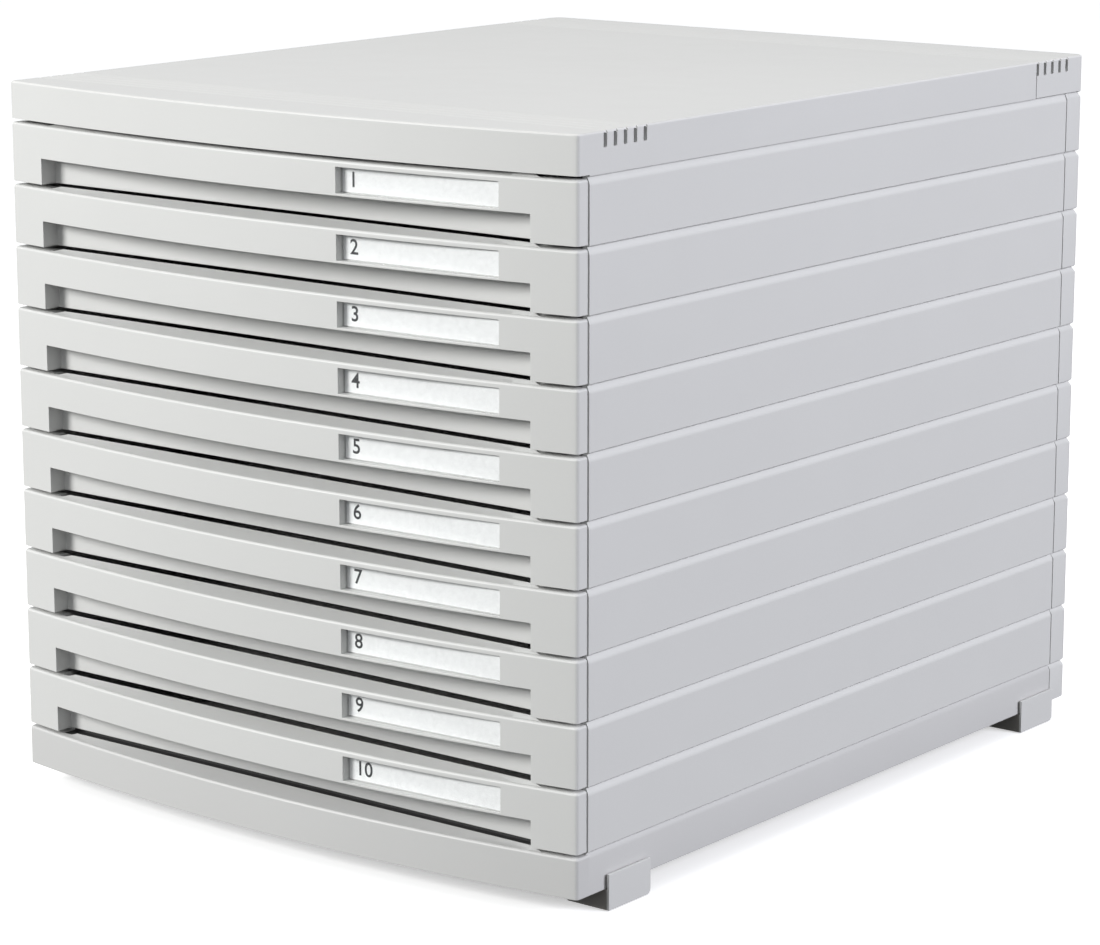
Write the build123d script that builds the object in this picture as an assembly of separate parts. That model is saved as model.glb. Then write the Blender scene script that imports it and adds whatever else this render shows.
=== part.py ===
from build123d import *
from math import atan2, degrees
import os

# Ten-drawer desktop document box, moulded in light grey plastic.
# Millimetres. The origin is on the floor at the centre of the footprint,
# +X to the right, +Y to the back, +Z up. The drawers open towards -Y.

# Housing
drawer_count = 10
level_pitch = 24.0  # height of one drawer level
body_width = 274.0
body_depth = 340.0  # from the front corners to the back
front_bulge = 11.0  # how far the middle of every front stands out
cover_height = 15.0
base_height = 16.0
foot_drop = 8.0  # height of the base above the floor
wall_thickness = 3.0  # side walls and skirts
back_thickness = 2.6
plate_thickness = 2.6  # top of the cover, deck of the base
rear_corner_radius = 5.0
front_corner_radius = 1.2
cover_edge_radius = 1.5

# Groove round the housing at every level
groove_height = 2.4
groove_depth = 1.1
edge_break = 0.4

# Runners inside the side walls
runner_width = 6.0
runner_thickness = 1.6
runner_setback = 1.7  # behind the front edge of the wall

# Joint between the side walls and the rear panel
rear_wrap = 14.2  # how far the rear panel comes round the sides
rear_seam = 0.6
lap_skin = 1.5  # outer part of the wall over the rear panel's tongue
lap_length = 5.0
lap_clearance = 0.2

# Ribbed bands and stacking slots of the cover
slot_count = 5
slot_pitch = 5.7
slot_width = 2.0
slot_height = 5.0
slot_top_skin = 0.8  # material left above a slot
first_front_slot = 15.0  # from the front corners
last_rear_slot = 15.6  # from the back
line_width = 1.2
line_depth = 0.4
tab_seam = 0.5  # slit that frees the rear tab of the skirt
tab_lift = 0.4

# Drawer fronts
front_gap = 1.4  # between one front and the next
return_depth = 5.4  # how far a front comes round the side
return_gap = 0.9  # between a front and the side wall behind it
front_edge_radius = 1.0
end_block_width = 18.7
band_height = 12.6  # upper part of the front, above the finger recess
band_back_depth = 0.4  # flat back of the band, behind the corners
recess_depth = 4.6  # flat wall of the finger recess, behind the corners
recess_overhang = 0.3  # how far that wall reaches below its level
shelf_thickness = 1.6  # between the finger recess and the trough above it

# Drawer trays
tray_wall = 1.8
tray_floor = 1.6
tray_side_gap = 0.6
tray_rear_gap = 2.0
runner_gap = 0.3
tray_top_gap = 1.2  # rim below the top of its level
front_wall_gap = 3.2  # front wall below the top of its level, the dark gap behind the band
tray_corner_radius = 3.0

# Label holder in the band, seen from the front
label_end_margin = 31.2  # right end of the holder, from the side
label_length = 69.0
label_drop = 3.0  # below the top of the level
label_height = 9.4
label_left_setback = 6.4  # floor of the holder, in front of the corners
label_right_setback = 3.1
card_thickness = 0.3
window_thickness = 0.8
label_play = 0.1
label_end_play = 0.4

# Feet
foot_length = 25.0
first_foot = 16.2  # front foot, from the front corners
foot_inset = 17.0  # how far a foot reaches in under the base
foot_proud = 1.8  # outer cheek, outside the housing
foot_cheek_height = 5.8  # cheek above the bottom of the base
foot_slit_top = 0.5
foot_slit_bottom = 0.9
foot_wall = 1.5
foot_corner_radius = 2.0
pad_clearance = 0.2
pad_reach = 0.3  # rubber below the plastic of the foot

# Places worked out from the sizes
half_width = body_width / 2
front_y = -(body_depth - front_bulge) / 2  # plane of the front corners
rear_y = front_y + body_depth
base_z = foot_drop
stack_z = base_z + base_height
cover_z = stack_z + drawer_count * level_pitch
side_front_y = front_y + return_depth + return_gap
side_rear_y = rear_y - rear_wrap - rear_seam
inner_half = half_width - wall_thickness
groove_angle = degrees(atan2(groove_depth, groove_height))
bow_front_y = front_y - front_bulge
recess_half = half_width - end_block_width
recess_back_y = front_y + recess_depth
band_back_y = front_y + band_back_depth
front_bottom = front_gap / 2
front_top = level_pitch - front_gap / 2
recess_top = front_top - band_height
tray_half = inner_half - tray_side_gap
tray_bottom = runner_thickness + runner_gap
tray_top = level_pitch - tray_top_gap
tray_rear_y = rear_y - back_thickness - tray_rear_gap
front_wall_top = level_pitch - front_wall_gap
label_left = half_width - label_end_margin - label_length


def block(x_low, x_high, y_low, y_high, z_low, z_high):
    """Upright block between two corners."""
    size = Box(x_high - x_low, y_high - y_low, z_high - z_low, align=(Align.MIN, Align.MIN, Align.MIN))
    return Pos(x_low, y_low, z_low) * size


def level_z(number):
    """Bottom of a drawer level; level 1 is under the cover."""
    return cover_z - number * level_pitch


def bowed_plan(inset, back_y):
    """Plan with the bowed front, set in from the front and the sides, as far as back_y."""
    side = half_width - inset
    corner_y = front_y + inset
    bow = ThreePointArc((-side, corner_y), (0, bow_front_y + inset), (side, corner_y))
    rest = Polyline((side, corner_y), (side, back_y), (-side, back_y), (-side, corner_y))
    return make_face(bow + rest)


def round_rear(plan):
    """Plan with its two rear corners rounded."""
    return fillet(plan.vertices().group_by(Axis.Y)[-1], rear_corner_radius)


def bowed_front(height):
    """Solid of a drawer front or base lip from z = 0, rounded at its top and its two corners."""
    front = extrude(bowed_plan(0, front_y + return_depth), amount=height)
    corners = front.edges().filter_by(Axis.Z).group_by(Axis.Y)[0]
    front = fillet(corners, front_corner_radius)
    rim = front.faces().sort_by(Axis.Z)[-1].edges().sort_by(Axis.Y)
    return fillet(rim[:-1], front_edge_radius)


def storey(height):
    """Outer form of one level behind the fronts, from z = 0, with half a groove at its top."""
    depth = rear_y - side_front_y
    plan = round_rear(Pos(0, side_front_y + depth / 2) * Rectangle(body_width, depth))
    straight = extrude(plan, amount=height - groove_height)
    sloped = extrude(Pos(0, 0, height - groove_height) * plan, amount=groove_height, taper=groove_angle)
    form = straight + sloped
    return chamfer(form.faces().sort_by(Axis.Z)[0].edges(), edge_break)


def lap_rebates(height):
    """Inner halves of both side walls where the rear panel's tongues go in."""
    y_low = side_rear_y - lap_length
    left = block(-half_width + lap_skin, -inner_half, y_low, side_rear_y, 0, height)
    return left + mirror(left, Plane.YZ)


def left_side_wall():
    """Left wall of one level with its runner, bottom at z = 0."""
    zone = block(-half_width, -inner_half, side_front_y, side_rear_y, 0, level_pitch)
    wall = (storey(level_pitch) & zone) - lap_rebates(level_pitch)
    runner = block(
        -inner_half,
        -inner_half + runner_width,
        side_front_y + runner_setback,
        side_rear_y - lap_length,
        0,
        runner_thickness,
    )
    return wall + runner


def rear_panel():
    """Back of the housing, one piece from the base's bottom to the cover."""
    stack = [(base_z, base_height)]
    stack += [(level_z(number), level_pitch) for number in range(drawer_count, 0, -1)]
    panel = None
    for bottom, height in stack:
        zone = block(-half_width, half_width, rear_y - rear_wrap, rear_y, 0, height)
        part = Pos(0, 0, bottom) * (storey(height) & zone)
        panel = part if panel is None else panel + part
    panel -= block(-inner_half, inner_half, side_front_y, rear_y - back_thickness, base_z, cover_z)
    tongue = block(
        -half_width + lap_skin + lap_clearance,
        -inner_half,
        side_rear_y - lap_length + lap_clearance,
        rear_y - rear_wrap,
        base_z,
        cover_z,
    )
    return panel + tongue + mirror(tongue, Plane.YZ)


def base():
    """Open-bottomed base with the bowed lip below the last drawer, bottom at z = 0."""
    lip = bowed_front(base_height - front_gap / 2)
    zone = block(-half_width, half_width, side_front_y, side_rear_y, 0, base_height)
    skirts = (storey(base_height) & zone) - lap_rebates(base_height)
    bridge_low = front_y + return_depth
    bridge = block(-half_width, half_width, bridge_low, side_front_y, 0, base_height - front_gap / 2 - edge_break)
    deck_rear = rear_y - back_thickness - lap_clearance
    deck_half = inner_half - lap_clearance
    deck_low = base_height - plate_thickness
    deck = block(-deck_half, deck_half, side_rear_y - lap_length, deck_rear, deck_low, base_height)
    hollow = extrude(bowed_plan(wall_thickness, deck_rear), amount=deck_low)
    return lip + bridge + skirts - hollow + deck


def band_places():
    """Middles of the cover's ribs and slots along Y, front band then rear band."""
    front = [front_y + first_front_slot + index * slot_pitch for index in range(slot_count)]
    rear = [rear_y - last_rear_slot - index * slot_pitch for index in range(slot_count)]
    return front + sorted(rear)


def cover():
    """Lid with a bowed front lip, ribbed bands and stacking slots, bottom at z = 0."""
    lid = extrude(round_rear(bowed_plan(0, rear_y)), amount=cover_height)
    lid = fillet(lid.edges().filter_by(Axis.Z).group_by(Axis.Y)[0], front_corner_radius)
    lid = fillet(lid.faces().sort_by(Axis.Z)[-1].edges(), cover_edge_radius)
    lid -= extrude(bowed_plan(wall_thickness, rear_y - back_thickness), amount=cover_height - plate_thickness)
    lid -= block(-half_width, half_width, bow_front_y, side_front_y, 0, front_gap / 2)
    places = band_places()
    slot_high = cover_height - slot_top_skin
    for place in places:
        low = place - line_width / 2
        lid -= block(-half_width, half_width, low, low + line_width, cover_height - line_depth, cover_height)
        slot_low = place - slot_width / 2
        slot = block(
            -half_width, -inner_half, slot_low, slot_low + slot_width, slot_high - slot_height, slot_high
        )
        lid -= slot + mirror(slot, Plane.YZ)
    tab_y = places[slot_count] - slot_width / 2
    seam = block(-half_width, -inner_half, tab_y, tab_y + tab_seam, 0, slot_high - slot_height)
    seam += block(-half_width, -inner_half, tab_y, rear_y - rear_corner_radius, 0, tab_lift)
    return lid - seam - mirror(seam, Plane.YZ)


def label_layer(offset, thickness, play):
    """Upright layer of the label holder: a slab that follows its slanting floor."""
    left = label_left + play
    right = label_left + label_length - play
    slope = (label_left_setback - label_right_setback) / label_length
    floor_left = front_y - label_left_setback - offset + slope * play
    floor_right = front_y - label_right_setback - offset - slope * play
    outline = Polyline(
        (left, floor_left),
        (right, floor_right),
        (right, floor_right - thickness),
        (left, floor_left - thickness),
        close=True,
    )
    low = level_pitch - label_drop - label_height + play
    return extrude(Pos(0, 0, low) * make_face(outline), amount=label_height - 2 * play)


def label_card():
    """Card that stands on the floor of the label holder."""
    return label_layer(label_play, card_thickness, label_end_play)


def label_window():
    """Clear strip over the card."""
    return label_layer(2 * label_play + card_thickness, window_thickness, label_play)


def drawer():
    """One drawer, shut, with the bottom of its level at z = 0."""
    front = Pos(0, 0, front_bottom) * bowed_front(front_top - front_bottom)
    front -= block(-recess_half, recess_half, bow_front_y, recess_back_y, 0, recess_top)
    shelf_top = recess_top + shelf_thickness
    front -= block(-recess_half, recess_half, band_back_y, recess_back_y, shelf_top, level_pitch)
    front -= label_layer(0, front_bulge, 0)
    outer = block(-tray_half, tray_half, recess_back_y, tray_rear_y, tray_bottom, tray_top)
    inside = block(
        -tray_half + tray_wall,
        tray_half - tray_wall,
        recess_back_y + tray_wall,
        tray_rear_y - tray_wall,
        tray_bottom + tray_floor,
        level_pitch,
    )
    inside = fillet(inside.edges().filter_by(Axis.Z), tray_corner_radius)
    recess_wall = block(
        -recess_half, recess_half, recess_back_y, recess_back_y + tray_wall, -recess_overhang, tray_top
    )
    wall_back_y = recess_back_y + tray_wall
    gap = block(-recess_half, recess_half, recess_back_y, wall_back_y, front_wall_top, level_pitch)
    return front - inside + (outer - inside) + recess_wall - gap


def right_foot():
    """Foot on the right: an outer cheek and a shell for the rubber pad, front end at y = 0."""
    outer_x = half_width + foot_proud
    inner_x = half_width - foot_inset
    section = Polyline(
        (outer_x, pad_reach),
        (outer_x, foot_drop + foot_cheek_height),
        (half_width + foot_slit_top, foot_drop + foot_cheek_height),
        (half_width + foot_slit_bottom, foot_drop),
        (inner_x, foot_drop),
        (inner_x, pad_reach),
        close=True,
    )
    foot = extrude(Plane.XZ * make_face(section), amount=-foot_length)
    sole = foot.faces().sort_by(Axis.Z)[0]
    foot = fillet(sole.edges().sort_by(Axis.Y)[-1], foot_corner_radius)
    pocket = block(
        inner_x + foot_wall, outer_x - foot_wall, foot_wall, foot_length - foot_wall, 0, foot_drop - foot_wall
    )
    return foot - pocket


def right_pad():
    """Rubber pad inside the right foot, front end of the foot at y = 0."""
    return block(
        half_width - foot_inset + foot_wall + pad_clearance,
        half_width + foot_proud - foot_wall - pad_clearance,
        foot_wall + pad_clearance,
        foot_length - foot_wall - pad_clearance,
        0,
        foot_drop - foot_wall - pad_clearance,
    )


def foot_places():
    """Front end of each foot along Y, with its name; a rear foot ends at the rear seam."""
    return [("front", front_y + first_foot), ("rear", side_rear_y - foot_length)]


os.makedirs("parts", exist_ok=True)


def save(shape, name):
    """Write one piece under its name."""
    export_step(shape, f"parts/{name}.step")


save(Pos(0, 0, cover_z) * cover(), "top_cover")
save(Pos(0, 0, base_z) * base(), "base")
save(rear_panel(), "rear_panel")

wall_form = left_side_wall()
drawer_form = drawer()
card_form = label_card()
window_form = label_window()
for number in range(1, drawer_count + 1):
    place = Pos(0, 0, level_z(number))
    save(place * wall_form, f"side_left_{number:02d}")
    save(place * mirror(wall_form, Plane.YZ), f"side_right_{number:02d}")
    save(place * drawer_form, f"drawer_{number:02d}")
    save(place * card_form, f"label_card_{number:02d}")
    save(place * window_form, f"label_window_{number:02d}")

foot_form = right_foot()
pad_form = right_pad()
pads = []
for end, foot_y in foot_places():
    place = Pos(0, foot_y, 0)
    save(place * foot_form, f"foot_{end}_right")
    save(place * mirror(foot_form, Plane.YZ), f"foot_{end}_left")
    pads += [place * pad_form, place * mirror(pad_form, Plane.YZ)]
save(Compound(children=pads), "foot_pads")
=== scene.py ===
"""Looks of the ten-drawer desktop document box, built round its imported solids.

Metres. +X is the box's right side, -Y its front, +Z up; the floor is at zero.
"""

import logging
import math
from contextlib import contextmanager
from dataclasses import dataclass
from enum import Enum
from typing import Callable, Iterable, Iterator

import bmesh
import bpy
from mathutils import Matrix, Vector


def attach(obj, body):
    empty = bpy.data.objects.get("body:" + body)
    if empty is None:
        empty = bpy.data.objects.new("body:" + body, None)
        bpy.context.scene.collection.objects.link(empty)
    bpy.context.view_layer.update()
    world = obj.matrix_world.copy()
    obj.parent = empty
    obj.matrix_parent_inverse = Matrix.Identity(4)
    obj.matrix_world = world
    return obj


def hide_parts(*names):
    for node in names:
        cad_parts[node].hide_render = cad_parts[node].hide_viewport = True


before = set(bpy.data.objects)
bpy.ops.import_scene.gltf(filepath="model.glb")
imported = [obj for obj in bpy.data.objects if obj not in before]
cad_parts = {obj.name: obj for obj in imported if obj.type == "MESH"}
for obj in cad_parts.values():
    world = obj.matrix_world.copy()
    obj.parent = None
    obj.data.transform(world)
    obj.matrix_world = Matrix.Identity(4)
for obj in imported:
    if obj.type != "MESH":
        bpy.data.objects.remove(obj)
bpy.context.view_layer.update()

MM = 0.001
LOG = logging.getLogger("document_box")
Colour = tuple | bpy.types.NodeSocket
DISC_SIDES = 720
MERGE_REACH = 1e-6  # metres
CUT_REACH = 1e-7


class Slot(str, Enum):
    """Material slots of the part's record."""

    HOUSING = "housing_plastic"
    DRAWER = "drawer_plastic"
    FOOT = "foot_plastic"
    WINDOW = "window_clear"
    CARD = "card_paper"
    PAD = "pad_rubber"


# ---------------------------------------------------------------- finishes


class NodeSheet:
    """Short hand for laying out the nodes of one material or world."""

    def __init__(self, tree: bpy.types.NodeTree) -> None:
        """Clear a node tree and start to fill it."""
        tree.nodes.clear()
        self.tree = tree

    def add(self, kind: str, inputs: dict | None = None, **settings: object) -> bpy.types.Node:
        """Add one node.

        Args:
            kind: Blender's name of the node type.
            inputs: values or source sockets by input name or number.
            settings: attributes of the node.

        Returns:
            The new node.
        """
        node = self.tree.nodes.new(kind)
        for name, value in settings.items():
            setattr(node, name, value)
        for key, value in (inputs or {}).items():
            if isinstance(value, bpy.types.NodeSocket):
                self.tree.links.new(value, node.inputs[key])
            else:
                node.inputs[key].default_value = value
        return node

    def math(self, operation: str, *values: object) -> bpy.types.NodeSocket:
        """Add a sum of numbers or sockets and hand out its result."""
        node = self.add("ShaderNodeMath", dict(enumerate(values)), operation=operation)
        return node.outputs[0]

    def noise(self, scale: float, detail: float, roughness: float = 0.5) -> bpy.types.NodeSocket:
        """Add a noise pattern on object coordinates.

        Args:
            scale: features per metre.
            detail: octaves of the pattern.
            roughness: share of the finer octaves.

        Returns:
            Socket with the pattern's value.
        """
        place = self.add("ShaderNodeTexCoord").outputs["Object"]
        values = {"Vector": place, "Scale": scale, "Detail": detail, "Roughness": roughness}
        return self.add("ShaderNodeTexNoise", values).outputs["Fac"]

    def spread(
        self, value: bpy.types.NodeSocket, low: float = 0.0, high: float = 1.0
    ) -> bpy.types.NodeSocket:
        """Map a noise pattern's middle range, 0.3 to 0.7, to two values."""
        values = {"Value": value, "From Min": 0.3, "From Max": 0.7, "To Min": low, "To Max": high}
        return self.add("ShaderNodeMapRange", values).outputs["Result"]

    def blend(self, factor: bpy.types.NodeSocket, *colours: Colour) -> bpy.types.NodeSocket:
        """Mix two colours.

        Args:
            factor: 0 for the first colour, 1 for the second.
            colours: both colours, each as linear RGB or as a socket.

        Returns:
            Socket with the colour.
        """
        mix = self.add("ShaderNodeMix", {"Factor": factor}, data_type="RGBA")
        for name, colour in zip("AB", colours):
            if isinstance(colour, bpy.types.NodeSocket):
                self.tree.links.new(colour, mix.inputs[name])
            else:
                mix.inputs[name].default_value = (*colour, 1.0)
        return mix.outputs["Result"]

    def fleck(self, first: tuple, second: tuple, *pattern: float) -> bpy.types.NodeSocket:
        """Mix two linear colours by a noise of this scale, detail and roughness."""
        return self.blend(self.spread(self.noise(*pattern)), first, second)

    def grain(self, strength: float, depth: float, *pattern: float) -> bpy.types.NodeSocket:
        """Bump the surface by a noise of this scale, detail and roughness; depth in metres."""
        values = {"Strength": strength, "Distance": depth, "Height": self.noise(*pattern)}
        return self.add("ShaderNodeBump", values).outputs[0]


@dataclass(frozen=True)
class Finish:
    """What every finish has in common."""

    name: str
    slot: Slot

    def paint(self, sheet: NodeSheet) -> bpy.types.Node:
        """Lay out the finish's nodes.

        Args:
            sheet: empty node sheet of the material.

        Returns:
            The shader node that goes to the output.
        """
        raise NotImplementedError

    def material(self) -> bpy.types.Material:
        """Make the material once and hand out the same one afterwards.

        Returns:
            The material.
        """
        made = bpy.data.materials.get(self.name)
        if made is None:
            made = bpy.data.materials.new(self.name)
            made.use_nodes = True
            sheet = NodeSheet(made.node_tree)
            shader = self.paint(sheet)
            sheet.add("ShaderNodeOutputMaterial", {"Surface": shader.outputs[0]})
        return made


def shade(colour: tuple, factor: float) -> tuple:
    """Lighten or darken a linear colour by a factor."""
    return tuple(min(1.0, channel * factor) for channel in colour)


@dataclass(frozen=True)
class MouldedPlastic(Finish):
    """Injection-moulded polystyrene: faint flow clouds and a fine eroded grain."""

    colour: tuple = (0.66, 0.66, 0.65)
    roughness: float = 0.44
    cloud: float = 0.012  # share of tone that the flow clouds take
    grain_scale: float = 1500.0
    grain_depth: float = 0.05 * MM

    def tint(self, sheet: NodeSheet) -> bpy.types.NodeSocket:
        """Lay out the colour with its clouds and speckle.

        Args:
            sheet: node sheet of the material.

        Returns:
            Socket with the colour.
        """
        clouds = sheet.noise(9.0, 3.0)
        speckle = sheet.noise(self.grain_scale / 2, 2.0)
        tone = sheet.math("MULTIPLY_ADD", speckle, 0.2, sheet.math("MULTIPLY", clouds, 0.8))
        return sheet.blend(
            sheet.spread(tone),
            shade(self.colour, 1 - self.cloud),
            shade(self.colour, 1 + self.cloud),
        )

    def paint(self, sheet: NodeSheet) -> bpy.types.Node:
        """Lay out colour, grain and gloss.

        Args:
            sheet: empty node sheet of the material.

        Returns:
            The plastic's shader node.
        """
        grain = sheet.grain(0.35, self.grain_depth, self.grain_scale, 2.0, 0.6)
        gloss = sheet.spread(sheet.noise(60.0, 4.0), self.roughness - 0.03, self.roughness + 0.03)
        values = {"Base Color": self.tint(sheet), "Roughness": gloss, "Normal": grain}
        return sheet.add("ShaderNodeBsdfPrincipled", {**values, "IOR": 1.5, "Specular IOR Level": 0.45})


@dataclass(frozen=True)
class TwoTonePlastic(MouldedPlastic):
    """Moulded plastic with painted shade: a darker colour painted on the block of a foot under the base and
    on the deck of the base behind the lip, where shade falls.
    """

    # painted shade: this darker colour stands for the shade under the base and in the gap behind the lip
    dark_colour: tuple = (0.25, 0.235, 0.22)
    dark_half: float = 137.8 * MM  # reach of the painted shade from the middle plane
    dark_front: float = -1.0  # where the painted shade starts behind the front

    def tint(self, sheet: NodeSheet) -> bpy.types.NodeSocket:
        """Lay out the plastic's colour and the painted shade over it.

        Args:
            sheet: node sheet of the material.

        Returns:
            Socket with the colour.
        """
        place = sheet.add("ShaderNodeTexCoord").outputs["Object"]
        parts = sheet.add("ShaderNodeSeparateXYZ", {"Vector": place}).outputs
        reach = sheet.math("ABSOLUTE", parts["X"])
        within = sheet.math("LESS_THAN", reach, self.dark_half)
        behind = sheet.math("GREATER_THAN", parts["Y"], self.dark_front)
        # painted shade, mixed over the plastic where the mask covers the surface
        dark = sheet.fleck(self.dark_colour, shade(self.dark_colour, 1.12), 90.0, 4.0)
        return sheet.blend(sheet.math("MULTIPLY", within, behind), super().tint(sheet), dark)


@dataclass(frozen=True)
class Rubber(Finish):
    """Dark soft rubber with a dusty bloom."""

    colour: tuple = (0.018, 0.018, 0.019)

    def paint(self, sheet: NodeSheet) -> bpy.types.Node:
        """Lay out bloom and grain.

        Args:
            sheet: empty node sheet of the material.

        Returns:
            The rubber's shader node.
        """
        bloom = sheet.fleck(self.colour, shade(self.colour, 1.9), 240.0, 4.0, 0.7)
        grain = sheet.grain(0.5, 0.1 * MM, 1800.0, 3.0)
        values = {"Base Color": bloom, "Normal": grain, "Roughness": 0.82}
        return sheet.add("ShaderNodeBsdfPrincipled", values)


@dataclass(frozen=True)
class Paper(Finish):
    """Uncoated card with short fibres."""

    colour: tuple = (0.96, 0.97, 0.97)

    def paint(self, sheet: NodeSheet) -> bpy.types.Node:
        """Lay out fibres and pulp clouds.

        Args:
            sheet: empty node sheet of the material.

        Returns:
            The paper's shader node.
        """
        pulp = sheet.fleck(shade(self.colour, 0.985), self.colour, 700.0, 4.0, 0.65)
        fibres = sheet.grain(0.25, 0.03 * MM, 2600.0, 3.0, 0.7)
        values = {"Base Color": pulp, "Normal": fibres, "Roughness": 0.9}
        return sheet.add("ShaderNodeBsdfPrincipled", values)


@dataclass(frozen=True)
class Ink(Finish):
    """Black print on the card, slightly uneven."""

    colour: tuple = (0.012, 0.012, 0.014)

    def paint(self, sheet: NodeSheet) -> bpy.types.Node:
        """Lay out the print's uneven black."""
        black = sheet.fleck(self.colour, shade(self.colour, 2.0), 1900.0, 3.0)
        return sheet.add("ShaderNodeBsdfPrincipled", {"Base Color": black, "Roughness": 0.6})


@dataclass(frozen=True)
class ClearStrip(Finish):
    """Clear flexible strip with fine handling marks in its gloss."""

    def paint(self, sheet: NodeSheet) -> bpy.types.Node:
        """Lay out clear plastic and its marks.

        Args:
            sheet: empty node sheet of the material.

        Returns:
            The strip's shader node.
        """
        marks = sheet.noise(420.0, 5.0, 0.7)
        cover = sheet.spread(marks, 0.05, 0.10)
        tint = sheet.blend(sheet.noise(60.0, 2.0), (0.30, 0.31, 0.32), (0.38, 0.39, 0.40))
        values = {"Base Color": tint, "Roughness": sheet.spread(marks, 0.05, 0.12), "Alpha": cover}
        return sheet.add("ShaderNodeBsdfPrincipled", {**values, "IOR": 1.46})


@dataclass(frozen=True)
class PaleFloor(Finish):
    """Seamless pale light table."""

    colour: tuple = (0.90, 0.90, 0.90)
    glow: float = 0.5  # light that comes up through the table

    def paint(self, sheet: NodeSheet) -> bpy.types.Node:
        """Lay out the floor's matt board.

        Args:
            sheet: empty node sheet of the material.

        Returns:
            The floor's shader node.
        """
        board = sheet.fleck(shade(self.colour, 0.995), self.colour, 30.0, 3.0)
        values = {"Base Color": board, "Roughness": 0.8, "Emission Strength": self.glow}
        return sheet.add("ShaderNodeBsdfPrincipled", values)


HOUSING_PLASTIC = MouldedPlastic("housing_light_grey", Slot.HOUSING)
DRAWER_PLASTIC = MouldedPlastic("drawer_light_grey", Slot.DRAWER)
# The base's colour is painted a little darker than the housing's, as painted shade, and its deck behind the
# lip is painted near black, as painted shadow in the gap under the last drawer.
BASE_PLASTIC = TwoTonePlastic(
    "base_painted_shade",
    Slot.HOUSING,
    colour=(0.607, 0.604, 0.598),
    dark_colour=(0.030, 0.030, 0.030),
    dark_half=118.2 * MM,
    dark_front=-164.05 * MM,
)
# The foot's block under the base is painted darker as painted shade; the outer cheek keeps the plastic's
# colour.
FOOT_PLASTIC = TwoTonePlastic("foot_painted_shade", Slot.FOOT)
PAD_RUBBER = Rubber("foot_pad_rubber", Slot.PAD)
CARD_PAPER = Paper("label_card_paper", Slot.CARD)
CARD_INK = Ink("label_print", Slot.CARD)
WINDOW_CLEAR = ClearStrip("label_window_clear", Slot.WINDOW)


# ---------------------------------------------------------------- modelling


class Keep(Enum):
    """What a cut leaves of a workpiece."""

    ABOVE = "above"
    BELOW = "below"
    BOTH = "both"


def only(obj: bpy.types.Object) -> None:
    """Select one object alone and make it the active one."""
    bpy.ops.object.select_all(action="DESELECT")
    obj.select_set(True)
    bpy.context.view_layer.objects.active = obj


def settle(obj: bpy.types.Object) -> bpy.types.Object:
    """Move an object's place, turn and size into its mesh.

    Args:
        obj: mesh object.

    Returns:
        The same object, now at the origin.
    """
    only(obj)
    bpy.ops.object.transform_apply(location=True, rotation=True, scale=True)
    return obj


def metres(values: Iterable[float]) -> list[float]:
    """Turn millimetres into metres."""
    return [value * MM for value in values]


@contextmanager
def editing(obj: bpy.types.Object) -> Iterator[bmesh.types.BMesh]:
    """Open an object in edit mode and close it afterwards.

    Args:
        obj: mesh object.

    Yields:
        Its mesh as it stands in edit mode.
    """
    only(obj)
    bpy.ops.object.mode_set(mode="EDIT")
    try:
        yield bmesh.from_edit_mesh(obj.data)
    finally:
        bpy.ops.object.mode_set(mode="OBJECT")


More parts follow.
